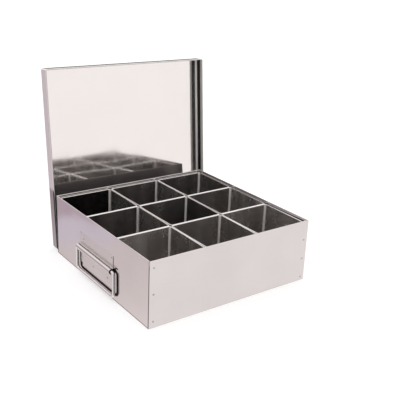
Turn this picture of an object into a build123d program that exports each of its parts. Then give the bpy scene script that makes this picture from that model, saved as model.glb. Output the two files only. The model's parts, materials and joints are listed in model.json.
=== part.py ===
"""Square stainless-steel spice box: nine lift-out cups, a loose pan lid and two drop handles.

Millimetres. The origin is the centre of the box's underside, on the surface it stands on.
+X is to the right, +Y to the rear and +Z up. The lid stands on edge behind the box, leaning back.
"""

import os
from math import cos, radians, sin

from build123d import *

# Sheet metal
SHEET = 0.8  # thickness of every sheet
HEM = 1.8  # thickness of a folded edge: two sheets and the gap between them
EDGE_ROUND = 0.8  # rounding along a folded edge
BEND_OUTSIDE = 1.4  # outside radius of a sharp sheet bend
BEND_INSIDE = BEND_OUTSIDE - SHEET
NEAR = 0.01  # tolerance when picking an edge by its place

# Box
BOX_SIDE = 300.0  # outside width and depth
BOX_HEIGHT = 106.0
WALL_HEM_HEIGHT = 8.0
FLANGE_LENGTH = 14.0  # side panel's flange behind the front and rear walls
FLANGE_GAP = 0.5  # between the top of the flange and the wall's hem above it
FOOT_CHAMFER = 0.7  # clears the fold between the floor and the front and rear walls

# Spot welds
WELD_RADIUS = 1.6
WELD_PROUD = 0.3
CORNER_WELD_INSET = 7.0  # from the box's corner to the row of welds
LEFT_WELD_HEIGHTS = (95.0, 54.0, 11.0)
RIGHT_WELD_HEIGHTS = (73.0, 40.0, 7.0)

# Handle brackets and bails
BRACKET_LENGTH = 110.0
BRACKET_Y = 7.0  # middle of the bracket along the side wall
BRACKET_BOTTOM = 22.0
BRACKET_TOP = 73.0
BRACKET_SHEET = 0.9
BARREL_BORE_RADIUS = 3.6
BARREL_HEIGHT = 48.5  # axis above the floor
BARREL_OFFSET = 3.8  # axis outside the side wall
BARREL_SLOT = 4.0  # open side of the barrel, against the wall
BRACKET_CORNER = 1.0  # where the barrel runs into the flat tails
BAIL_RADIUS = 2.5
BAIL_WIDTH = 120.8  # between the centre lines of the legs
BAIL_DROP = 40.0  # from the barrel's axis to the grip's axis
BAIL_Y = 5.0
BAIL_TOP_BEND = 5.0
BAIL_GRIP_BEND = 6.0
BAIL_BUTT_GAP = 0.6  # between the rod's two ends, hidden in the barrel
UPPER_TAIL_WELDS = ((-51.5, 69.5), (40.0, 65.5))  # along the bracket from its middle, height
LOWER_TAIL_WELDS = ((-38.0, 30.0), (8.0, 29.5), (51.0, 28.0))

# Cups
CUP_SIDE = 97.6  # outside the rim
CUP_HEIGHT = 101.2
RIM = 1.9  # thickness of the hemmed rim
RIM_HEIGHT = 6.0
CUP_INSIDE_CORNER = 2.2
CUP_FLOOR_BEND = 2.0
CUP_GAP = 0.4  # between neighbouring rims
ROWS = ("front", "middle", "rear")
COLUMNS = ("left", "centre", "right")
ROW_SHIFT = (-0.9, 0.0, 0.6)  # how far each row of cups has settled to the right
BLOCK_Y = -0.3  # middle of the block of cups

# Lid
LID_SIDE = 314.0
LID_DEPTH = 22.0
LID_HEM_WIDTH = 7.0
LID_CORNER = 3.2
LID_BEND_OUTSIDE = 3.0  # between the lid's panel and its flanges
LID_GAP = 0.4  # between the lid's nearest corner and the rear wall
LID_LEAN = 5.0  # degrees that the standing lid leans back
LID_TURN = 1.0  # degrees that it is turned, its right side nearer to the box
LID_SHIFT = 9.5  # how far its middle is to the right of the box's

HALF = BOX_SIDE / 2


def block(x_range, y_range, z_range):
    """A flat-sided block between the given limits."""
    (x0, x1), (y0, y1), (z0, z1) = x_range, y_range, z_range
    middle = Pos((x0 + x1) / 2, (y0 + y1) / 2, (z0 + z1) / 2)
    return middle * Box(abs(x1 - x0), abs(y1 - y0), abs(z1 - z0))


def edges_at(shape, axis, **place):
    """The shape's edges along an axis whose middle has the given X, Y or Z (or its mirror image)."""
    found = shape.edges().filter_by(axis)
    for letter, value in place.items():
        values = value if isinstance(value, tuple) else (value,)
        found = found.filter_by(lambda e: any(abs(getattr(e.center(), letter) - v) < NEAR for v in values))
    return found


def wrap_sheet():
    """Front wall, floor and rear wall folded from one sheet, with the walls' tops hemmed inward."""
    floor = block((-HALF, HALF), (-HALF, HALF), (0, SHEET))
    sheet = floor
    for side in (-1, 1):
        sheet += block((-HALF, HALF), (side * HALF, side * (HALF - SHEET)), (0, BOX_HEIGHT))
        hem_bottom = BOX_HEIGHT - WALL_HEM_HEIGHT
        sheet += block((-HALF, HALF), (side * HALF, side * (HALF - HEM)), (hem_bottom, BOX_HEIGHT))
    sheet = fillet(edges_at(sheet, Axis.X, Y=(-HALF, HALF), Z=0.0), BEND_OUTSIDE)
    inner = HALF - SHEET
    sheet = fillet(edges_at(sheet, Axis.X, Y=(-inner, inner), Z=SHEET), BEND_INSIDE)
    return fillet(edges_at(sheet, Axis.X, Z=BOX_HEIGHT), EDGE_ROUND)


def left_side_panel():
    """A side wall with a hemmed top and a flange at each end, which the welds hold to the next wall."""
    hem_bottom = BOX_HEIGHT - WALL_HEM_HEIGHT
    end = HALF - SHEET
    panel = block((-HALF, SHEET - HALF), (-end, end), (SHEET, hem_bottom))
    for side in (-1, 1):
        flange_top = hem_bottom - FLANGE_GAP
        flange_face = (side * end, side * (end - SHEET))
        panel += block((-HALF, FLANGE_LENGTH - HALF), flange_face, (SHEET, flange_top))
    inner_end = end - SHEET
    panel = fillet(edges_at(panel, Axis.Z, X=-HALF, Y=(-end, end)), BEND_OUTSIDE)
    panel = fillet(edges_at(panel, Axis.Z, X=SHEET - HALF, Y=(-inner_end, inner_end)), BEND_INSIDE)
    foot_edges = panel.faces().sort_by(Axis.Z)[0].edges().filter_by(Axis.X)
    panel = chamfer(foot_edges.filter_by(lambda e: abs(e.center().Y) > inner_end + NEAR), FOOT_CHAMFER)
    panel += block((-HALF, HEM - HALF), (HEM - HALF, HALF - HEM), (hem_bottom, BOX_HEIGHT))
    return fillet(edges_at(panel, Axis.Y, Z=BOX_HEIGHT), EDGE_ROUND)


def weld_mark():
    """One spot weld's low round mark, standing on the XY plane."""
    mark = Cylinder(WELD_RADIUS, WELD_PROUD, align=(Align.CENTER, Align.CENTER, Align.MIN))
    return fillet(mark.edges().group_by(Axis.Z)[-1], WELD_PROUD * 0.8)


def corner_welds(x_side, y_side, heights):
    """The row of spot welds beside one vertical corner, on the front (-1) or rear (1) wall."""
    x = x_side * (HALF - CORNER_WELD_INSET)
    face = Plane(origin=(x, y_side * HALF, 0), x_dir=(1, 0, 0), z_dir=(0, y_side, 0))
    marks = [face.location * Pos(0, -y_side * height, 0) * weld_mark() for height in heights]
    return Compound(children=marks)


def left_handle_bracket():
    """A strip pressed round the bail, with a flat tail above and below the barrel."""
    tails = Pos(BRACKET_SHEET / 2, (BRACKET_TOP + BRACKET_BOTTOM) / 2)
    section = tails * Rectangle(BRACKET_SHEET, BRACKET_TOP - BRACKET_BOTTOM)
    axis = Pos(BARREL_OFFSET, BARREL_HEIGHT)
    section += axis * Circle(BARREL_BORE_RADIUS + BRACKET_SHEET)
    section -= axis * Circle(BARREL_BORE_RADIUS)
    section -= Pos(BARREL_OFFSET / 2, BARREL_HEIGHT) * Rectangle(BARREL_OFFSET, BARREL_SLOT)
    section -= Pos(-BRACKET_SHEET, BARREL_HEIGHT) * Rectangle(2 * BRACKET_SHEET, BRACKET_LENGTH)
    front_end = BRACKET_Y - BRACKET_LENGTH / 2
    outward = Plane(origin=(-HALF, front_end, 0), x_dir=(-1, 0, 0), z_dir=(0, 1, 0))
    bracket = extrude(outward * section, BRACKET_LENGTH)
    tail_face = -HALF - BRACKET_SHEET
    reach = BARREL_BORE_RADIUS + BRACKET_SHEET
    inset = BARREL_OFFSET - BRACKET_SHEET
    rise = (reach**2 - inset**2) ** 0.5
    meeting = (BARREL_HEIGHT - rise, BARREL_HEIGHT + rise)
    return fillet(edges_at(bracket, Axis.Y, X=tail_face, Z=meeting), BRACKET_CORNER)


def left_bracket_welds():
    """The spot welds that hold the bracket's two tails to the side wall."""
    tail_face = Plane(origin=(-HALF - BRACKET_SHEET, 0, 0), x_dir=(0, 1, 0), z_dir=(-1, 0, 0))
    marks = []
    for along, height in UPPER_TAIL_WELDS + LOWER_TAIL_WELDS:
        marks.append(tail_face.location * Pos(BRACKET_Y + along, -height, 0) * weld_mark())
    return Compound(children=marks)


def left_bail():
    """A round rod bent into a closed loop, its two ends meeting inside the barrel."""
    x = -HALF - BARREL_OFFSET
    front = BAIL_Y - BAIL_WIDTH / 2
    rear = BAIL_Y + BAIL_WIDTH / 2
    grip = BARREL_HEIGHT - BAIL_DROP
    route = [
        (x, BAIL_Y - BAIL_BUTT_GAP / 2, BARREL_HEIGHT),
        (x, front, BARREL_HEIGHT),
        (x, front, grip),
        (x, rear, grip),
        (x, rear, BARREL_HEIGHT),
        (x, BAIL_Y + BAIL_BUTT_GAP / 2, BARREL_HEIGHT),
    ]
    bends = [BAIL_TOP_BEND, BAIL_GRIP_BEND, BAIL_GRIP_BEND, BAIL_TOP_BEND]
    line = FilletPolyline(*route, radius=bends)
    section = Plane(origin=route[0], z_dir=(0, -1, 0)) * Circle(BAIL_RADIUS)
    return sweep(section, path=line)


def cup():
    """One deep square cup with rounded corners and an outward hem, standing on the XY plane."""
    inside = CUP_SIDE - 2 * RIM
    wall = inside + 2 * SHEET
    shell = extrude(RectangleRounded(wall, wall, CUP_INSIDE_CORNER + SHEET), CUP_HEIGHT)
    shell = fillet(shell.edges().group_by(Axis.Z)[0], CUP_FLOOR_BEND)
    rim = RectangleRounded(CUP_SIDE, CUP_SIDE, CUP_INSIDE_CORNER + RIM)
    shell += Pos(0, 0, CUP_HEIGHT - RIM_HEIGHT) * extrude(rim, RIM_HEIGHT)
    hollow = extrude(RectangleRounded(inside, inside, CUP_INSIDE_CORNER), CUP_HEIGHT)
    hollow = fillet(hollow.edges().group_by(Axis.Z)[0], CUP_FLOOR_BEND - SHEET)
    shell -= Pos(0, 0, SHEET) * hollow
    return fillet(shell.edges().group_by(Axis.Z)[-1], EDGE_ROUND)


def cup_place(row, column):
    """Where a cup stands, counting rows from the front and columns from the left."""
    pitch = CUP_SIDE + CUP_GAP
    return Pos((column - 1) * pitch + ROW_SHIFT[row], (row - 1) * pitch + BLOCK_Y, SHEET)


def lid_layer(side, corner, near, far):
    """A square block with rounded corners, standing on Z = 0, between two places along Y."""
    facing = Plane(origin=(0, near, LID_SIDE / 2), x_dir=(1, 0, 0), z_dir=(0, 1, 0))
    return extrude(facing * RectangleRounded(side, side, corner), far - near)


def upright_lid():
    """A folded pan, open to the front, with the flanges' free edges hemmed inward and its back at Y = 0."""
    front = -LID_DEPTH
    hem_end = front + LID_HEM_WIDTH
    pan = lid_layer(LID_SIDE, LID_CORNER, front, 0)
    pan = fillet(pan.edges().group_by(Axis.Y)[-1], LID_BEND_OUTSIDE)
    pan = fillet(pan.edges().group_by(Axis.Y)[0], EDGE_ROUND)
    inside = lid_layer(LID_SIDE - 2 * SHEET, LID_CORNER - SHEET, hem_end, -SHEET)
    pan -= fillet(inside.edges().group_by(Axis.Y)[-1], LID_BEND_OUTSIDE - SHEET)
    return pan - lid_layer(LID_SIDE - 2 * HEM, LID_CORNER - SHEET, front, hem_end)


def lid():
    """The lid standing behind the box on the bend along its lower edge, leaning back a little."""
    lean = radians(LID_LEAN)
    turn = radians(LID_TURN)
    rise = LID_BEND_OUTSIDE * (cos(lean) + sin(lean) - 1)
    reach = LID_DEPTH * cos(lean) * cos(turn) + LID_SIDE / 2 * sin(turn)
    place = Pos(LID_SHIFT, HALF + LID_GAP + reach, -rise)
    return place * Rot(0, 0, -LID_TURN) * Rot(-LID_LEAN, 0, 0) * upright_lid()


def build_nodes():
    """Every sub-part in its place, by name."""
    nodes = {"wrap_sheet": wrap_sheet(), "lid": lid()}
    left_parts = {
        "side_panel": left_side_panel(),
        "handle_bracket": left_handle_bracket(),
        "bracket_welds": left_bracket_welds(),
        "bail": left_bail(),
    }
    for name, shape in left_parts.items():
        nodes["left_" + name] = shape
        nodes["right_" + name] = mirror(shape, about=Plane.YZ)
    for wall, y_side in (("front", -1), ("rear", 1)):
        nodes[wall + "_left_welds"] = corner_welds(-1, y_side, LEFT_WELD_HEIGHTS)
        nodes[wall + "_right_welds"] = corner_welds(1, y_side, RIGHT_WELD_HEIGHTS)
    one_cup = cup()
    for row, row_name in enumerate(ROWS):
        for column, column_name in enumerate(COLUMNS):
            nodes[f"cup_{row_name}_{column_name}"] = cup_place(row, column) * one_cup
    return nodes


os.makedirs("parts", exist_ok=True)
for node, shape in build_nodes().items():
    export_step(shape, f"parts/{node}.step")
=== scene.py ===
import json
from math import ceil, cos, pi, radians, sin

import bpy
from mathutils import Matrix, Vector, noise


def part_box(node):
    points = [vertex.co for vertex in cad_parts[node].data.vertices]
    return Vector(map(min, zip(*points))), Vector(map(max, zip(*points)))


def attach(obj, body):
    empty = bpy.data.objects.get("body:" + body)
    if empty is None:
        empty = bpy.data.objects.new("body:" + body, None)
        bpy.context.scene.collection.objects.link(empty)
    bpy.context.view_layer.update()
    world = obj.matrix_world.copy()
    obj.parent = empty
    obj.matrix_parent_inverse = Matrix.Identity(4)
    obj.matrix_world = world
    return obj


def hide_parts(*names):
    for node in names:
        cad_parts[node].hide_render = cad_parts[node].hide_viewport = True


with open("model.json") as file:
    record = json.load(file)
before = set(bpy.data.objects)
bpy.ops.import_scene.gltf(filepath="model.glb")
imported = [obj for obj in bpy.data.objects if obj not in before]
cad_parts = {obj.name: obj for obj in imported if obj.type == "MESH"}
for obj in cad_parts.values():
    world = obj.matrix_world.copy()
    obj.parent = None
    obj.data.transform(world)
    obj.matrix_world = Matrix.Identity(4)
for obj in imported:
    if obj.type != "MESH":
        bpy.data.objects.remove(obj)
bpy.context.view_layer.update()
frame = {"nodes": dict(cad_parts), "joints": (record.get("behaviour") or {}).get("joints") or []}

MM = 0.001
SHEET = 0.8 * MM  # thickness of the box, cup and lid sheet
HEM = 1.8 * MM  # a folded edge, two sheets and the gap between them
LEAF = HEM - SHEET  # between the middles of a hem's two sheets
BEND = 1.0 * MM  # middle radius of a sharp sheet bend
BEND_STEPS = 5
WALL_HEM_HEIGHT = 8.0 * MM
FLANGE_LENGTH = 14.0 * MM
RIM_HEIGHT = 6.0 * MM
RIM_LEAF = 1.1 * MM  # between the middles of a cup rim's two sheets
CUP_CORNER = 2.6 * MM  # middle radius of a cup's upright corners
CUP_FLOOR_BEND = 1.6 * MM
CUP_PINCH = 0.6 * MM  # how far a cup's rim is drawn in at the front end of its left and right sides
CUP_TAPER = 0.8 * MM  # how far each wall of a cup leans in at its floor
NARROW = 0.6 * MM  # a short step beside a bend, where a surface's finish, or its painted light and shade, changes
BEND_HIGHLIGHT = 1.8 * MM  # the strip of the lid's panel beside its bend, which takes a painted highlight
LID_SIDE = 314.0 * MM
LID_DEPTH = 22.0 * MM
LID_CORNER = 2.8 * MM
LID_BEND = 2.6 * MM  # middle radius between the panel and its flanges
LID_HEM_WIDTH = 7.0 * MM
LID_SHADOW_STRIP = 4.0 * MM  # the edge strip of a flange, painted dark as shadow where it stands against the box
LID_LEAN = 5.0  # degrees back
LID_TURN = 1.0  # degrees, its right side nearer to the box
BRACKET_SHEET = 0.9 * MM
BARREL_RADIUS = 4.05 * MM  # middle of the bracket's rolled sheet
BAIL_RADIUS = 2.5 * MM
BAIL_TOP_BEND = 5.0 * MM
BAIL_GRIP_BEND = 6.0 * MM
BAIL_BUTT_GAP = 0.6 * MM  # between the rod's two ends, inside the barrel
WELD_RADIUS = 1.6 * MM
MESH_STEP = 9 * MM  # longest straight step over a sheet
CALM_EDGE = 40 * MM  # how far from a wall's end its oil-canning is full

ROWS = ("front", "middle", "rear")
COLUMNS = ("left", "centre", "right")
# How bright the rear and right walls of each cup are: painted shade and painted reflection, set for each
# cup
CUP_PAINTED_SHADING = {
    "cup_front_left": (0.98, 0.62),
    "cup_front_centre": (0.68, 0.66),
    "cup_front_right": (0.70, 0.72),
    "cup_middle_left": (0.37, 0.62),
    "cup_middle_centre": (0.46, 0.30),
    "cup_middle_right": (0.50, 0.96),
    "cup_rear_left": (0.07, 0.74),
    "cup_rear_centre": (0.40, 0.64),
    "cup_rear_right": (0.42, 0.60),
}
OTHER_PAINTED_SHADING = 0.52  # painted shade of a cup's floor, front and left walls


# ---------------------------------------------------------------- paths and meshes


def rounded_path(corners, radii, longest):
    """Points along a 2-D line through the corners, each inner corner rounded, in steps of up to longest."""
    spots = [Vector(c) for c in corners]
    line = [spots[0]]
    for before, corner, after, radius in zip(spots, spots[1:], spots[2:], radii):
        into = (corner - before).normalized()
        out = (after - corner).normalized()
        turn = into.angle(out)
        setback = radius * abs(sin(turn / 2) / cos(turn / 2))
        start = corner - into * setback
        side = 1 if into.x * out.y - into.y * out.x > 0 else -1
        centre = start + Vector((-into.y, into.x)) * radius * side
        steps = BEND_STEPS if radius else 0
        for step in range(steps + 1):
            spin = Matrix.Rotation(side * turn * step / max(steps, 1), 2)
            line.append(centre + spin @ (start - centre))
    line.append(spots[-1])
    points = [line[0]]
    for a, b in zip(line, line[1:]):
        pieces = max(1, ceil((b - a).length / longest))
        points += [a.lerp(b, (n + 1) / pieces) for n in range(pieces)]
    return [p for n, p in enumerate(points) if n == 0 or (p - points[n - 1]).length > 0.02 * MM]


def spaced(start, end, longest):
    """Evenly spaced values from start to end."""
    count = max(1, ceil(abs(end - start) / longest))
    return [start + (end - start) * n / count for n in range(count + 1)]


def sag(place, seed, depth, size):
    """A slow wave over a thin sheet, as its oil-canning, up to about depth."""
    spot = Vector(place) / size + Vector((seed * 7.3, seed * 3.1, seed * 5.7))
    return depth * (noise.noise(spot) + 0.4 * noise.noise(spot * 2.3))


def ease(distance, width):
    """0 at an edge, rising smoothly to 1 a width away from it."""
    t = min(max(distance / width, 0.0), 1.0)
    return t * t * (3 - 2 * t)


def new_object(name, points, faces, body, stands_for):
    mesh = bpy.data.meshes.new(name)
    mesh.from_pydata([tuple(p) for p in points], [], faces)
    mesh.shade_smooth()
    piece = bpy.data.objects.new(name, mesh)
    bpy.context.scene.collection.objects.link(piece)
    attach(piece, body)
    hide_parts(*stands_for)
    return piece


def mark_points(piece, name, values):
    """Stores one number per point, which the piece's material reads."""
    layer = piece.data.attributes.new(name, "FLOAT", "POINT")
    layer.data.foreach_set("value", values)


def thicken(piece, thickness, edge_round=0.12 * MM):
    """Gives a middle surface its sheet thickness, with the cut edges just broken."""
    solid = piece.modifiers.new("thickness", "SOLIDIFY")
    solid.thickness = thickness
    solid.offset = 0
    solid.use_even_offset = True
    broken = piece.modifiers.new("broken_edges", "BEVEL")
    broken.width = edge_round
    broken.segments = 2
    broken.limit_method = "ANGLE"
    broken.angle_limit = radians(60)
    broken.harden_normals = False
    normals = piece.modifiers.new("normals", "WEIGHTED_NORMAL")
    normals.keep_sharp = True
    normals.weight = 80


def lattice_faces(columns, rows, closed=False):
    """Quads over points listed row by row, each row going round or along the columns."""
    faces = []
    for row in range(rows - 1):
        for column in range(columns if closed else columns - 1):
            after = (column + 1) % columns
            low, high = row * columns, (row + 1) * columns
            faces.append((low + column, low + after, high + after, high + column))
    return faces


def square_loop(half, radius, along, round_steps):
    """Points round a square with rounded corners, anticlockwise, with a short step beside each corner."""
    flat = half - radius
    short = min(NARROW, 0.1 * flat)
    stops = [-flat] + [(flat - short) * (2 * n / along - 1) for n in range(along + 1)]
    loop = []
    for quarter in range(4):
        spin = Matrix.Rotation(quarter * pi / 2, 2)
        for stop in stops:
            loop.append(spin @ Vector((half, stop)))
        for n in range(round_steps):
            angle = pi / 2 * n / round_steps
            loop.append(spin @ Vector((flat + radius * cos(angle), flat + radius * sin(angle))))
    return loop


# ---------------------------------------------------------------- the box


WALL_SAG, WALL_WAVE = 0.22 * MM, 75 * MM  # depth and size of the walls' oil-canning


def box_size():
    """The box's lowest and highest corner, without its handles."""
    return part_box("wrap_sheet")


def wall_calm(from_end, z, top):
    """How free a spot of a wall is to sag: not at all at its ends, its foot or its hem."""
    return ease(from_end, CALM_EDGE) * ease(z, 25 * MM) * ease(top - z, 30 * MM)


def build_wrap():
    """Front wall, floor and rear wall in one folded sheet, hemmed inward along the top."""
    low, high = box_size()
    half_depth = high.y - SHEET / 2
    leaf = half_depth - LEAF
    top = high.z - SHEET / 2
    hem_end = high.z - WALL_HEM_HEIGHT + SHEET / 2
    corners = [(-leaf, hem_end), (-leaf, top), (-half_depth, top), (-half_depth, SHEET / 2)]
    corners += [(half_depth, SHEET / 2), (half_depth, top), (leaf, top), (leaf, hem_end)]
    radii = [LEAF / 2, LEAF / 2, BEND, BEND, LEAF / 2, LEAF / 2]
    path = rounded_path(corners, radii, MESH_STEP)
    across = spaced(low.x, high.x, MESH_STEP)
    points = []
    for y, z in path:
        for x in across:
            wall = abs(abs(y) - half_depth) < 1e-6
            wave = 0.0
            if wall:
                calm = wall_calm(high.x - abs(x), z, high.z)
                wave = calm * sag((x, y, z), 1, WALL_SAG, WALL_WAVE) * (1 if y > 0 else -1)
            points.append((x, y - wave, z))
    faces = lattice_faces(len(across), len(path))
    piece = new_object("box_wrap", points, faces, "box", ["wrap_sheet"])
    thicken(piece, SHEET)
    return piece


def build_side(side, node):
    """A side wall with a flange at each end behind the front and rear walls, and a hem along the top."""
    high = box_size()[1]
    wall = high.x - SHEET / 2
    flange = high.y - SHEET * 1.5
    flange_end = high.x - FLANGE_LENGTH
    flange_top = high.z - WALL_HEM_HEIGHT - 0.5 * MM
    corners = [(flange_end, -flange), (wall, -flange), (wall, flange), (flange_end, flange)]
    plan = rounded_path(corners, [BEND, BEND], MESH_STEP)
    levels = spaced(SHEET + 0.1 * MM, flange_top, MESH_STEP)
    top = high.z - SHEET / 2
    leaf = wall - LEAF
    hem_end = high.z - WALL_HEM_HEIGHT + SHEET / 2
    fold = [(wall, flange_top), (wall, top), (leaf, top), (leaf, hem_end)]
    hem = rounded_path(fold, [LEAF / 2, LEAF / 2], MESH_STEP)[1:]
    points, faces = [], []
    for z in levels:
        for x, y in plan:
            calm = wall_calm(flange - abs(y), z, high.z)
            points.append((side * (x - calm * sag((x, y, z), 2 + side, WALL_SAG, WALL_WAVE)), y, z))
    faces += lattice_faces(len(plan), len(levels))
    plate = [n for n, (x, y) in enumerate(plan) if x > wall - 1e-6 and abs(y) < high.y - HEM]
    below = (len(levels) - 1) * len(plan)
    rows = [[below + n for n in plate]]
    for x, z in hem:
        rows.append([len(points) + n for n in range(len(plate))])
        points += [(side * x, plan[n][1], z) for n in plate]
    for under, over in zip(rows, rows[1:]):
        faces += [(a, b, d, c) for a, b, c, d in zip(under, under[1:], over, over[1:])]
    piece = new_object(node.replace("_panel", "_wall"), points, faces, "box", [node])
    thicken(piece, SHEET)
    return piece


# ---------------------------------------------------------------- lid and cups


LID_SAG, CUP_SAG, PAN_WAVE = 0.25 * MM, 0.12 * MM, 90 * MM  # depth and size of their oil-canning
LID_ALONG, LID_ROUND = 40, 5  # mesh steps along a side and round a corner
CUP_ALONG, CUP_ROUND = 9, 8


def pan_mesh(loops, place, along, round_steps):
    """Quads between closed loops, from a small middle face outward, and where each point is on its loop."""
    points, spots = [], []
    for half, radius, level in loops:
        for spot in square_loop(half, radius, along, round_steps):
            points.append(place(spot, half, level))
            spots.append((spot, half, radius, level))
    count = len(points) // len(loops)
    faces = [tuple(range(count))[::-1]]
    faces += lattice_faces(count, len(loops), closed=True)
    return points, faces, spots


def arc(centre, radius, first, last, steps):
    """Points on a 2-D arc between two angles, in degrees."""
    cx, cy = centre
    angles = [radians(first + (last - first) * n / steps) for n in range(steps + 1)]
    return [(cx + radius * cos(a), cy + radius * sin(a)) for a in angles]


def lid_placing():
    """How the upright, centred pan is turned and moved to where the lid stands."""
    low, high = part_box("lid")
    turned = Matrix.Rotation(radians(-LID_TURN), 4, "Z") @ Matrix.Rotation(radians(-LID_LEAN), 4, "X")
    return Matrix.Translation((low + high) / 2) @ turned


def build_lid():
    """A folded pan with its flanges' free edges hemmed inward, leaning back on one flange."""
    outer = LID_SIDE / 2 - SHEET / 2
    front = SHEET / 2 - LID_DEPTH / 2
    rear = LID_DEPTH / 2 - SHEET / 2
    leaf = outer - LEAF
    flat = outer - LID_BEND
    profile = [(half, rear) for half in spaced(0.02 * flat, flat - BEND_HIGHLIGHT, 7 * MM)]
    profile += arc((flat, rear - LID_BEND), LID_BEND, 90, 0, 8)
    profile += [(outer, y) for y in spaced(rear - LID_BEND - NARROW, front + LID_SHADOW_STRIP, 6 * MM)]
    profile += [(outer, front + LID_SHADOW_STRIP - NARROW), (outer, front + LEAF / 2)]
    profile += arc((outer - LEAF / 2, front + LEAF / 2), LEAF / 2, 0, -180, 6)[1:]
    hem_end = LID_HEM_WIDTH - LID_DEPTH / 2 - SHEET / 2
    profile += [(leaf, y) for y in spaced(front + LEAF / 2, hem_end, 4 * MM)][1:]
    loops = []
    for half, level in profile:
        radius = max(LID_CORNER - (outer - half), 0.4 * MM)
        loops.append((half, radius, level))
    placing = lid_placing()

    def place(spot, half, level):
        calm = ease(flat - half, 45 * MM) if level > rear - 1e-6 else 0.0
        wave = calm * sag((spot.x, 0, spot.y), 5, LID_SAG, PAN_WAVE)
        return placing @ Vector((spot.x, level - wave, spot.y))

    points, faces, spots = pan_mesh(loops, place, LID_ALONG, LID_ROUND)
    piece = new_object("lid_pan", points, faces, "lid", ["lid"])
    bend, flange, hem, shadow_strip = [], [], [], []
    for spot, half, radius, level in spots:
        # The strip beside the bend takes a painted highlight.
        bend.append(half > flat - BEND_HIGHLIGHT / 2 and level > rear - LID_BEND - NARROW / 2)
        flange.append(half > outer - NARROW / 10 and level < rear - LID_BEND - NARROW / 2)
        hem.append(half < outer - NARROW / 2 and level < hem_end + NARROW / 2)
        # The flange's edge strip takes painted shadow where it stands beside the box.
        shadow_strip.append(half > outer - LEAF / 2 and level < front + LID_SHADOW_STRIP - NARROW / 2)
    mark_points(piece, "shadow_strip", shadow_strip)
    mark_points(piece, "bend", bend)
    mark_points(piece, "flange", flange)
    mark_points(piece, "hem", hem)
    thicken(piece, SHEET)
    return piece


def build_cup(node, seed):
    """A deep square cup with rounded corners and a rim rolled outward."""
    low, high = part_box(node)
    centre = (low + high) / 2
    rim = (high.x - low.x) / 2 - SHEET / 2
    wall = rim - RIM_LEAF
    roll = (rim - wall) / 2
    floor = low.z + SHEET / 2
    flat = wall - CUP_FLOOR_BEND
    top = high.z - SHEET / 2
    profile = [(half, floor) for half in spaced(0.05 * flat, flat, 11 * MM)]
    profile += arc((flat, floor + CUP_FLOOR_BEND), CUP_FLOOR_BEND, -90, 0, BEND_STEPS)[1:]
    profile += [(wall, z) for z in spaced(floor + CUP_FLOOR_BEND, top - roll, MESH_STEP)][1:]
    profile += arc((wall + roll, top - roll), roll, 180, 0, 6)[1:]
    profile += [(rim, z) for z in spaced(top - roll, high.z - RIM_HEIGHT + SHEET / 2, 3 * MM)][1:]
    loops = []
    for half, level in profile:
        radius = max(CUP_CORNER - (wall - half), 1.0 * MM * half / flat)
        loops.append((half, radius, level))

    def place(spot, half, level):
        lean = CUP_TAPER * (top - level) / (top - floor)
        out = Vector((spot.x, spot.y, 0)) * (1 - lean / wall)
        calm = ease(level - floor, 20 * MM) * ease(top - level, 25 * MM)
        calm *= ease(half - min(abs(spot.x), abs(spot.y)), 30 * MM)
        pull = calm * sag((spot.x, spot.y, level), seed, CUP_SAG, PAN_WAVE)
        if abs(spot.x) > abs(spot.y):
            pull += CUP_PINCH * ease(-spot.y, half) * ease(level - floor, top - floor)
            out.x -= pull if spot.x > 0 else -pull
        else:
            out.y -= pull if spot.y > 0 else -pull
        return (centre.x + out.x, centre.y + out.y, level)

    points, faces, spots = pan_mesh(loops, place, CUP_ALONG, CUP_ROUND)
    piece = new_object(node.replace("cup_", "square_cup_"), points, faces, node, [node])
    # Painted shade: how much of the sheet's colour each point of the cup keeps, darker walls standing for
    # shade and dark reflections
    rear_shade, right_shade = CUP_PAINTED_SHADING[node]
    corner, rim_roll, shaded_outer_leaf, shade = [], [], [], []
    for spot, half, radius, level in spots:
        if level > floor + CUP_FLOOR_BEND and spot.y > abs(spot.x) + NARROW / 10:
            shade.append(rear_shade)
        elif level > floor + CUP_FLOOR_BEND and spot.x > abs(spot.y):
            shade.append(right_shade)
        else:
            shade.append(OTHER_PAINTED_SHADING)
        # The upright corners take a painted highlight.
        round_part = min(abs(spot.x), abs(spot.y)) > half - radius - NARROW / 10
        corner.append(round_part and half < wall + NARROW / 10 and level > floor + NARROW)
        rim_roll.append(half > wall + NARROW / 10 and level > top - 0.9 * roll)
        # The rim's outer leaf, hanging in the gap between cups, takes painted shade.
        shaded_outer_leaf.append(half > rim - NARROW / 10 and level < top - 0.9 * roll)
    mark_points(piece, "corner", corner)
    mark_points(piece, "rim", rim_roll)
    mark_points(piece, "shaded_outer_leaf", shaded_outer_leaf)
    mark_points(piece, "shade", shade)
    thicken(piece, SHEET)
    return piece


# ---------------------------------------------------------------- handles


def build_bracket(side, node):
    """A pressed strip: flat tails on the wall and a barrel round the bail's axle."""
    low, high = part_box(node)
    axle = next(j for j in frame["joints"] if j["child"] == node.split("_")[0] + "_bail")
    wall = box_size()[1].x
    centre = Vector((abs(axle["pos_m"][0]), axle["pos_m"][2]))
    tail = wall + BRACKET_SHEET / 2
    reach = centre.x - tail
    start = pi - abs(Vector((reach, (BARREL_RADIUS**2 - reach**2) ** 0.5)).angle_signed(Vector((1, 0))))
    steps = 28
    ring = []
    for n in range(steps + 1):
        angle = -start + 2 * start * n / steps
        ring.append((centre.x + BARREL_RADIUS * cos(angle), centre.y + BARREL_RADIUS * sin(angle)))
    corners = [(tail, low.z)] + ring + [(tail, high.z)]
    radii = [0.9 * MM] + [0.0] * (len(ring) - 2) + [0.9 * MM]
    path = rounded_path(corners, radii, 6 * MM)
    along = spaced(low.y, high.y, 8 * MM)
    points = [(side * x, y, z) for x, z in path for y in along]
    faces = lattice_faces(len(along), len(path))
    piece = new_object(node + "_strip", points, faces, "box", [node])
    thicken(piece, BRACKET_SHEET, 0.2 * MM)
    return piece


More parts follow.
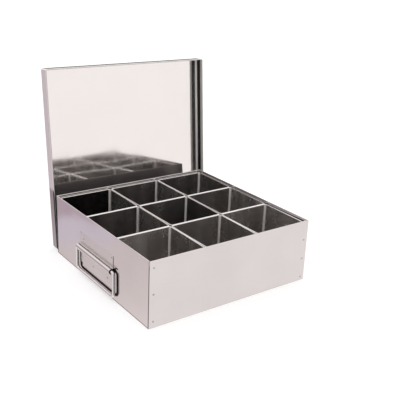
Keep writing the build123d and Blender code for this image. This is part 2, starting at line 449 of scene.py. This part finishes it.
def build_bail(side, node):
    """A round rod bent into a loop whose ends meet inside the barrel."""
    low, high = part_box(node)
    x = side * (abs(low.x) + abs(high.x)) / 2
    front, rear = low.y + BAIL_RADIUS, high.y - BAIL_RADIUS
    grip, axle = low.z + BAIL_RADIUS, high.z - BAIL_RADIUS
    middle = (front + rear) / 2
    gap = BAIL_BUTT_GAP / 2
    corners = [(middle - gap, axle), (front, axle), (front, grip)]
    corners += [(rear, grip), (rear, axle), (middle + gap, axle)]
    bends = [BAIL_TOP_BEND, BAIL_GRIP_BEND, BAIL_GRIP_BEND, BAIL_TOP_BEND]
    line = rounded_path(corners, bends, 6 * MM)
    sides = 20
    points = []
    for n, spot in enumerate(line):
        ahead = line[min(n + 1, len(line) - 1)] - line[max(n - 1, 0)]
        normal = Vector((-ahead.y, ahead.x)).normalized()
        for k in range(sides):
            angle = 2 * pi * k / sides
            across = spot + normal * BAIL_RADIUS * cos(angle)
            points.append((x + BAIL_RADIUS * sin(angle), across.x, across.y))
    faces = lattice_faces(sides, len(line), closed=True)
    faces += [tuple(range(sides))[::-1], tuple(range(len(points) - sides, len(points)))]
    return new_object(node + "_rod", points, faces, node, [node])


def build_welds(node, toward):
    """Each spot weld's round mark: a raised ring round a shallow dish."""
    solids = weld_centres(node)
    # From the rim inward: the share of the mark's radius, and of its height
    profile = [(1.0, 0.0), (0.93, 0.55), (0.80, 0.95), (0.62, 1.0), (0.42, 0.62), (0.18, 0.45), (0.0, 0.42)]
    low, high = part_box(node)
    proud = max(abs(h - l) for h, l, t in zip(high, low, toward) if t)
    spokes = 24
    points, faces = [], []
    up = Vector(toward)
    right = Vector((0, 0, 1)).cross(up).normalized()
    over = up.cross(right)
    for centre in solids:
        base = len(points)
        for reach, rise in profile[:-1]:
            for k in range(spokes):
                angle = 2 * pi * k / spokes
                flat = right * cos(angle) + over * sin(angle)
                points.append(centre + flat * WELD_RADIUS * reach + up * proud * rise)
        rings = len(profile) - 1
        faces += [tuple(base + i for i in face) for face in lattice_faces(spokes, rings, closed=True)]
        points.append(centre + up * proud * profile[-1][1])
        last = base + (rings - 1) * spokes
        faces += [(last + k, last + (k + 1) % spokes, len(points) - 1) for k in range(spokes)]
    return new_object(node + "_marks", points, faces, "box", [node])


def weld_centres(node):
    """Where each solid of a group of welds meets its sheet, from the CAD mesh's separate pieces."""
    mesh = frame["nodes"][node].data
    spots = [v.co.copy() for v in mesh.vertices]
    groups = []
    for spot in spots:
        for group in groups:
            if (group[0] - spot).length < 3 * WELD_RADIUS:
                group.append(spot)
                break
        else:
            groups.append([spot])
    centres = []
    for group in groups:
        low = Vector(min(p[i] for p in group) for i in range(3))
        high = Vector(max(p[i] for p in group) for i in range(3))
        centres.append((low + high) / 2)
    thin = min(range(3), key=lambda i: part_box(node)[1][i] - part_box(node)[0][i])
    face = min((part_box(node)[0][thin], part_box(node)[1][thin]), key=abs)
    for centre in centres:
        centre[thin] = face
    return centres


# ---------------------------------------------------------------- materials


class Nodes:
    """A short way to add and join shader nodes."""

    def __init__(self, tree):
        self.tree = tree
        tree.nodes.clear()

    def add(self, kind, inputs=None, **settings):
        node = self.tree.nodes.new("ShaderNode" + kind)
        for name, value in settings.items():
            setattr(node, name, value)
        for name, value in (inputs or {}).items():
            if isinstance(value, bpy.types.NodeSocket):
                self.tree.links.new(value, node.inputs[name])
            else:
                node.inputs[name].default_value = value
        return node

    def math(self, operation, a, b=0.0, clamp=False):
        return self.add("Math", {0: a, 1: b}, operation=operation, use_clamp=clamp).outputs[0]

    def ramp(self, value, low, high, to_low, to_high):
        """A smooth change from to_low to to_high as the value goes from low to high."""
        inputs = {"Value": value, "From Min": low, "From Max": high, "To Min": to_low, "To Max": to_high}
        return self.add("MapRange", inputs, interpolation_type="SMOOTHSTEP").outputs["Result"]

    def noise(self, place, scale, detail, roughness=0.5):
        inputs = {"Vector": place, "Scale": scale, "Detail": detail, "Roughness": roughness}
        return self.add("TexNoise", inputs).outputs["Fac"]

    def blend(self, factor, a, b):
        return self.add("Mix", {0: factor, 2: a, 3: b}, data_type="FLOAT").outputs[0]

    def mark(self, name):
        return self.add("Attribute", attribute_name=name).outputs["Fac"]

    def mix(self, factor, a, b):
        node = self.add("Mix", {0: factor}, data_type="RGBA")
        for slot, value in ((6, a), (7, b)):
            if isinstance(value, bpy.types.NodeSocket):
                self.tree.links.new(value, node.inputs[slot])
            else:
                node.inputs[slot].default_value = (*value, 1)
        return node.outputs[2]


def steel(name, tints, grain, grain_depth, roughness, haze, marks=None, metal=1.0):
    """Stainless sheet: colour drifting between two tints, fine rolled grain, hazier and rubbed patches.

    marks() lists further masks, each with the colour, roughness and metal that it turns the sheet to.
    """
    material = bpy.data.materials.new(name)
    material.use_nodes = True
    nodes = Nodes(material.node_tree)
    place = nodes.add("TexCoord").outputs["Object"]
    clouds = nodes.noise(place, 9.0, 3.0, 0.55)
    smears = nodes.noise(place, 34.0, 5.0, 0.6)
    along = nodes.add("Mapping", {"Vector": place, "Scale": grain}).outputs["Vector"]
    lines = nodes.noise(along, 1.0, 4.0, 0.7)
    tone = nodes.math("ADD", nodes.math("MULTIPLY", clouds, 0.65), nodes.math("MULTIPLY", lines, 0.35))
    light, dark = tints
    colour = nodes.mix(nodes.ramp(tone, 0.35, 0.65, 0.0, 1.0), dark, light)
    cloudy = nodes.ramp(smears, 0.38, 0.72, 0.0, haze)
    brushed = nodes.math("MULTIPLY", nodes.math("SUBTRACT", lines, 0.5), haze)
    rough = nodes.math("ADD", nodes.math("ADD", cloudy, brushed), roughness, clamp=True)
    bump = nodes.add("Bump", {"Height": lines, "Strength": 0.35, "Distance": grain_depth})
    for mask, mark_colour, mark_rough, mark_metal in marks(nodes, place) if marks else ():
        worn = nodes.ramp(lines, 0.3, 0.7, 0.0, 0.25)
        tinted = nodes.mix(worn, mark_colour, tuple(0.7 * c for c in mark_colour))
        colour = nodes.mix(mask, colour, tinted)
        rough = nodes.blend(mask, rough, mark_rough)
        metal = nodes.blend(mask, metal, mark_metal)
    inputs = {"Base Color": colour, "Roughness": rough, "Metallic": metal, "Normal": bump.outputs["Normal"]}
    shader = nodes.add("BsdfPrincipled", inputs)
    output = nodes.add("OutputMaterial")
    material.node_tree.links.new(shader.outputs[0], output.inputs["Surface"])
    return material


def cup_marks(nodes, place):
    """Walls with painted shade, set for each cup and broken by upright streaks; ground weld lines down the
    corners, rough and near white as a painted highlight; bright rims; and painted shade on the rims' outer
    leaves.
    """
    upright = nodes.add("Mapping", {"Vector": place, "Scale": STREAKS}).outputs["Vector"]
    streaks = nodes.ramp(nodes.noise(upright, 1.0, 2.0), 0.3, 0.7, 0.80, 1.20)
    shade = nodes.math("MULTIPLY", nodes.mark("shade"), streaks)
    return [
        # Painted shade: the walls turned toward near black as their painted shading falls, with random
        # upright streaks
        (nodes.math("SUBTRACT", 1.0, shade, clamp=True), (0.012, 0.010, 0.011), 0.24, 1.0),
        # Painted highlight: the corners near white and barely metallic, rough like a ground weld line
        (nodes.mark("corner"), (0.95, 0.92, 0.89), 0.45, 0.15),
        (nodes.mark("rim"), (0.94, 0.91, 0.90), 0.22, 0.8),
        # Painted shade: the rims' outer leaves dark, in the gaps between the cups
        (nodes.mark("shaded_outer_leaf"), (0.12, 0.11, 0.11), 0.5, 0.8),
    ]


def wrap_marks(nodes, place):
    """The rear wall, rougher and painted dark: painted shade between the box and the lid, which the lid
    mirrors as a dark band.
    """
    rear = box_size()[1].y
    depth = nodes.add("SeparateXYZ", {"Vector": place}).outputs["Y"]
    wall = nodes.ramp(depth, rear - 1.5 * MM, rear - 0.5 * MM, 0.0, 1.0)
    # Painted shade: the rear wall nearly black where the lid mirrors it
    return [(wall, (0.14, 0.13, 0.13), 0.35, 1.0)]


def lid_marks(nodes, place):
    """A painted highlight on the bend round the panel; the flanges a touch lighter, with painted shade
    where they stand beside the box and a painted dark reflection on the right flange's inner face; painted
    shadow along their edges beside the box; and the pressed hem, greyer and duller.
    """
    way = nodes.add("SeparateXYZ", {"Vector": nodes.add("TexCoord").outputs["Normal"]}).outputs["X"]
    split = nodes.add("SeparateXYZ", {"Vector": place})
    right = nodes.ramp(split.outputs["X"], 0.0, 0.01, 0.0, 1.0)
    box_top = box_size()[1].z
    beside_box = nodes.ramp(split.outputs["Z"], box_top - 2 * MM, box_top + 8 * MM, 1.0, 0.0)
    inside = nodes.math("MULTIPLY", nodes.ramp(way, -0.8, -0.6, 1.0, 0.0), right)
    return [
        (nodes.mark("flange"), (0.97, 0.98, 0.93), 0.24, 0.97),
        # Painted shade: the flanges darker where they stand beside the box
        (nodes.math("MULTIPLY", nodes.mark("flange"), beside_box), (0.46, 0.42, 0.41), 0.24, 1.0),
        # Painted reflection: the right flange's inner face nearly black, a dark reflection that the panel
        # mirrors too
        (nodes.math("MULTIPLY", nodes.mark("flange"), inside), (0.07, 0.063, 0.063), 0.16, 1.0),
        # Painted shadow: the flanges' edge strips nearly black beside the box
        (nodes.math("MULTIPLY", nodes.mark("shadow_strip"), beside_box), (0.04, 0.035, 0.035), 0.50, 0.9),
        # Painted highlight: the bend strip near white and barely metallic
        (nodes.mark("bend"), (0.92, 0.90, 0.89), 0.40, 0.15),
        (nodes.mark("hem"), (0.60, 0.59, 0.575), 0.45, 0.25),
    ]


def side_marks(nodes, place):
    """Painted shade in the seams where a side wall meets the front and rear walls and the floor."""
    split = nodes.add("SeparateXYZ", {"Vector": place})
    wall_end = box_size()[1].y
    along = nodes.math("ABSOLUTE", split.outputs["Y"])
    end = nodes.ramp(along, wall_end - 3.2 * MM, wall_end - 2.2 * MM, 0.0, 1.0)
    foot = nodes.ramp(split.outputs["Z"], 1.2 * MM, 2.6 * MM, 1.0, 0.0)
    # Painted shade: the wall's ends and foot darkened as the shadow in their seams
    return [(nodes.math("MAXIMUM", end, foot), (0.13, 0.11, 0.11), 0.5, 0.7)]


def rod_marks(nodes, place):
    """The side of a bail that faces the wall, rougher and painted dark as shade, so the wall mirrors a dark
    line beside the bail.
    """
    split = nodes.add("SeparateXYZ", {"Vector": place})
    wall = box_size()[1].x
    out = nodes.math("ABSOLUTE", split.outputs["X"])
    inner = nodes.ramp(out, wall + 2.6 * MM, wall + 3.8 * MM, 1.0, 0.0)
    # Painted shade: the bail's wall side dark, which the wall mirrors
    return [(inner, (0.07, 0.06, 0.06), 0.5, 0.7)]


# Noise scales: rolled grain along one axis or level all round, and a cup's upright streaks
ALONG_X = (6, 900, 900)
ALONG_Y = (900, 6, 900)
ALONG_Z = (900, 900, 6)
LEVEL = (6, 6, 900)
STREAKS = (38, 38, 5)
FINE = 0.01 * MM  # depth of grain
COARSE = 0.02 * MM

# Each sheet's lighter and darker tint
BOX_TINTS = ((0.75, 0.70, 0.69), (0.70, 0.655, 0.645))
SIDE_TINTS = ((0.74, 0.69, 0.69), (0.70, 0.65, 0.655))
CUP_TINTS = ((1.0, 0.95, 0.92), (0.90, 0.85, 0.83))
LID_TINTS = ((0.94, 0.885, 0.865), (0.91, 0.86, 0.84))
BRACKET_TINTS = ((0.74, 0.70, 0.69), (0.68, 0.64, 0.63))
ROD_TINTS = ((0.80, 0.76, 0.75), (0.74, 0.70, 0.69))
WELD_TINTS = ((0.50, 0.47, 0.46), (0.36, 0.33, 0.32))


def floor_material():
    material = bpy.data.materials.new("pale_floor")
    material.use_nodes = True
    shader = material.node_tree.nodes["Principled BSDF"]
    shader.inputs["Base Color"].default_value = (0.65, 0.65, 0.65, 1)
    shader.inputs["Roughness"].default_value = 0.9
    shader.inputs["Specular IOR Level"].default_value = 0.0
    shader.inputs["Emission Color"].default_value = (1, 1, 1, 1)
    shader.inputs["Emission Strength"].default_value = 0.52
    return material


# ---------------------------------------------------------------- stage


CAMERA_PLACE = (-0.59619, -0.85488, 0.50916)
CAMERA_AZIMUTH = -36.4698
CAMERA_ELEVATION = 19.6649
CAMERA_ROLL = 2.4549
CAMERA_LENS = 60.8452
CAMERA_SHIFT = (0.006742, -0.023361)
SENSOR = 36
FLOOR_REACH = 12.0  # from the middle to each side
DOME_RADIUS = 11.0


def make_camera():
    data = bpy.data.cameras.new("camera")
    camera = bpy.data.objects.new("camera", data)
    bpy.context.scene.collection.objects.link(camera)
    turn = Matrix.Rotation(radians(CAMERA_AZIMUTH), 4, "Z")
    tilt = Matrix.Rotation(radians(90 - CAMERA_ELEVATION), 4, "X")
    roll = Matrix.Rotation(radians(CAMERA_ROLL), 4, "Z")
    camera.matrix_world = Matrix.Translation(CAMERA_PLACE) @ turn @ tilt @ roll
    data.sensor_width = SENSOR
    data.lens = CAMERA_LENS
    data.shift_x, data.shift_y = CAMERA_SHIFT
    bpy.context.scene.camera = camera


def make_floor():
    line = spaced(-FLOOR_REACH, FLOOR_REACH, 1.0)
    points = [(x, y, 0) for y in line for x in line]
    mesh = bpy.data.meshes.new("floor")
    mesh.from_pydata(points, [], lattice_faces(len(line), len(line)))
    floor = bpy.data.objects.new("floor", mesh)
    bpy.context.scene.collection.objects.link(floor)
    mesh.materials.append(floor_material())
    floor.visible_glossy = False


def make_backdrop():
    """A plain white dome round the stage, for views that look past the floor's edge."""
    around, up = 48, 16
    points = []
    for j in range(up + 1):
        rise = -0.1 + (pi / 2 + 0.08) * j / up  # from just under the floor nearly to the top
        reach = DOME_RADIUS * cos(rise)
        for i in range(around):
            turn = 2 * pi * i / around
            points.append((reach * cos(turn), reach * sin(turn), DOME_RADIUS * sin(rise)))
    mesh = bpy.data.meshes.new("backdrop")
    mesh.from_pydata(points, [], lattice_faces(around, up + 1, closed=True))
    backdrop = bpy.data.objects.new("backdrop", mesh)
    bpy.context.scene.collection.objects.link(backdrop)
    material = bpy.data.materials.new("white_cloth")
    material.use_nodes = True
    nodes = Nodes(material.node_tree)
    glow = nodes.add("Emission", {"Color": (1, 1, 1, 1), "Strength": 1.0})
    output = nodes.add("OutputMaterial")
    material.node_tree.links.new(glow.outputs[0], output.inputs["Surface"])
    mesh.materials.append(material)
    backdrop.visible_diffuse = False
    backdrop.visible_glossy = False
    backdrop.visible_transmission = False
    backdrop.visible_shadow = False


# Dark flags and gaps round the light tent: azimuth, half width in degrees, lowest and highest slope, depth.
# A slope is the height of a direction one unit long. Azimuth 0 is towards the front, and -90 to the left.
FLAGS = [
    (-37, 21, -0.75, 0.75, 0.82),
    (95, 9, -0.30, 0.60, 0.55),
    (144, 22, -0.50, 0.25, 0.95),
    (-110, 8, 0.00, 0.55, 0.45),
]

# The tinted part of the tent that the left side mirrors: its azimuth, the colour at its foot, and each
# change of colour above that, as the slopes where it starts and ends and the new colour
WINDOW_AZIMUTH = -152
WINDOW_EDGE = (24, 12)  # degrees from its middle, where the tint starts and where it is full
WINDOW_FOOT = (0.90, 0.86, 0.84)
WINDOW_BANDS = [
    (-0.53, -0.43, (0.77, 0.70, 0.70)),
    (-0.415, -0.400, (0.74, 0.69, 0.77)),
    (-0.380, -0.370, (0.55, 0.45, 0.51)),
]
TENT_WHITE = (1.0, 0.985, 0.98)


def toward(azimuth):
    """The level direction of an azimuth."""
    return (sin(radians(azimuth)), -cos(radians(azimuth)), 0)


def make_world():
    """A white light tent with a few dark gaps, which give the steel something to reflect."""
    world = bpy.data.worlds.new("light_tent")
    bpy.context.scene.world = world
    world.use_nodes = True
    nodes = Nodes(world.node_tree)
    way = nodes.add("TexCoord").outputs["Generated"]
    split = nodes.add("SeparateXYZ", {"Vector": way})
    height = split.outputs["Z"]
    level = nodes.add("CombineXYZ", {"X": split.outputs["X"], "Y": split.outputs["Y"], "Z": 0.0}).outputs[0]
    level = nodes.add("VectorMath", {0: level}, operation="NORMALIZE").outputs[0]
    light = nodes.ramp(height, -0.9, 0.0, 1.0, 0.97)
    light = nodes.math("ADD", light, nodes.ramp(height, 0.0, 0.8, 0.0, 0.15))
    for azimuth, half, low, high, depth in FLAGS:
        aim = {0: level, 1: toward(azimuth)}
        facing = nodes.add("VectorMath", aim, operation="DOT_PRODUCT").outputs["Value"]
        inside = nodes.ramp(facing, cos(radians(half * 1.3)), cos(radians(half * 0.7)), 0.0, 1.0)
        above = nodes.ramp(height, low - 0.1, low + 0.05, 0.0, 1.0)
        below = nodes.ramp(height, high - 0.05, high + 0.1, 1.0, 0.0)
        flag = nodes.math("MULTIPLY", nodes.math("MULTIPLY", inside, above), below)
        keep = nodes.math("SUBTRACT", 1.0, nodes.math("MULTIPLY", flag, depth))
        light = nodes.math("MULTIPLY", light, keep)
    outer, inner = WINDOW_EDGE
    aim = {0: level, 1: toward(WINDOW_AZIMUTH)}
    facing = nodes.add("VectorMath", aim, operation="DOT_PRODUCT").outputs["Value"]
    window = nodes.ramp(facing, cos(radians(outer)), cos(radians(inner)), 0.0, 1.0)
    window = nodes.math("MULTIPLY", window, nodes.ramp(height, 0.1, 0.4, 1.0, 0.0))
    band = WINDOW_FOOT
    for low, high, above_colour in WINDOW_BANDS:
        band = nodes.mix(nodes.ramp(height, low, high, 0.0, 1.0), band, above_colour)
    colour = nodes.mix(window, TENT_WHITE, band)
    background = nodes.add("Background", {"Color": colour, "Strength": light})
    output = nodes.add("OutputWorld")
    world.node_tree.links.new(background.outputs[0], output.inputs["Surface"])


# ---------------------------------------------------------------- assembly


def dress(piece, material):
    piece.data.materials.clear()
    piece.data.materials.append(material)


make_camera()
make_floor()
make_backdrop()
make_world()
bpy.context.scene.view_settings.view_transform = "Standard"

box_steel = steel("box_steel", BOX_TINTS, ALONG_X, COARSE, roughness=0.17, haze=0.06, marks=wrap_marks)
side_steel = steel("side_steel", SIDE_TINTS, ALONG_Y, FINE, roughness=0.08, haze=0.04, marks=side_marks)
cup_steel = steel(
    "cup_steel", CUP_TINTS, LEVEL, COARSE, roughness=0.24, haze=0.08, marks=cup_marks, metal=0.90
)
lid_steel = steel(
    "lid_steel", LID_TINTS, ALONG_Z, FINE, roughness=0.07, haze=0.03, marks=lid_marks, metal=0.95
)
bracket_steel = steel("bracket_steel", BRACKET_TINTS, ALONG_Y, COARSE, roughness=0.18, haze=0.06)
rod_steel = steel("rod_steel", ROD_TINTS, ALONG_Y, FINE, roughness=0.12, haze=0.05, marks=rod_marks)
weld_steel = steel("weld_steel", WELD_TINTS, ALONG_X, COARSE, roughness=0.32, haze=0.12)

dress(build_wrap(), box_steel)
for side, name in ((-1, "left"), (1, "right")):
    dress(build_side(side, name + "_side_panel"), side_steel)
    dress(build_bracket(side, name + "_handle_bracket"), bracket_steel)
    dress(build_bail(side, name + "_bail"), rod_steel)
    dress(build_welds(name + "_bracket_welds", (side, 0, 0)), weld_steel)
    dress(build_welds("front_" + name + "_welds", (0, -1, 0)), weld_steel)
    dress(build_welds("rear_" + name + "_welds", (0, 1, 0)), weld_steel)
dress(build_lid(), lid_steel)
for row_number, row in enumerate(ROWS):
    for column_number, column in enumerate(COLUMNS):
        dress(build_cup(f"cup_{row}_{column}", 11 + row_number * 3 + column_number), cup_steel)
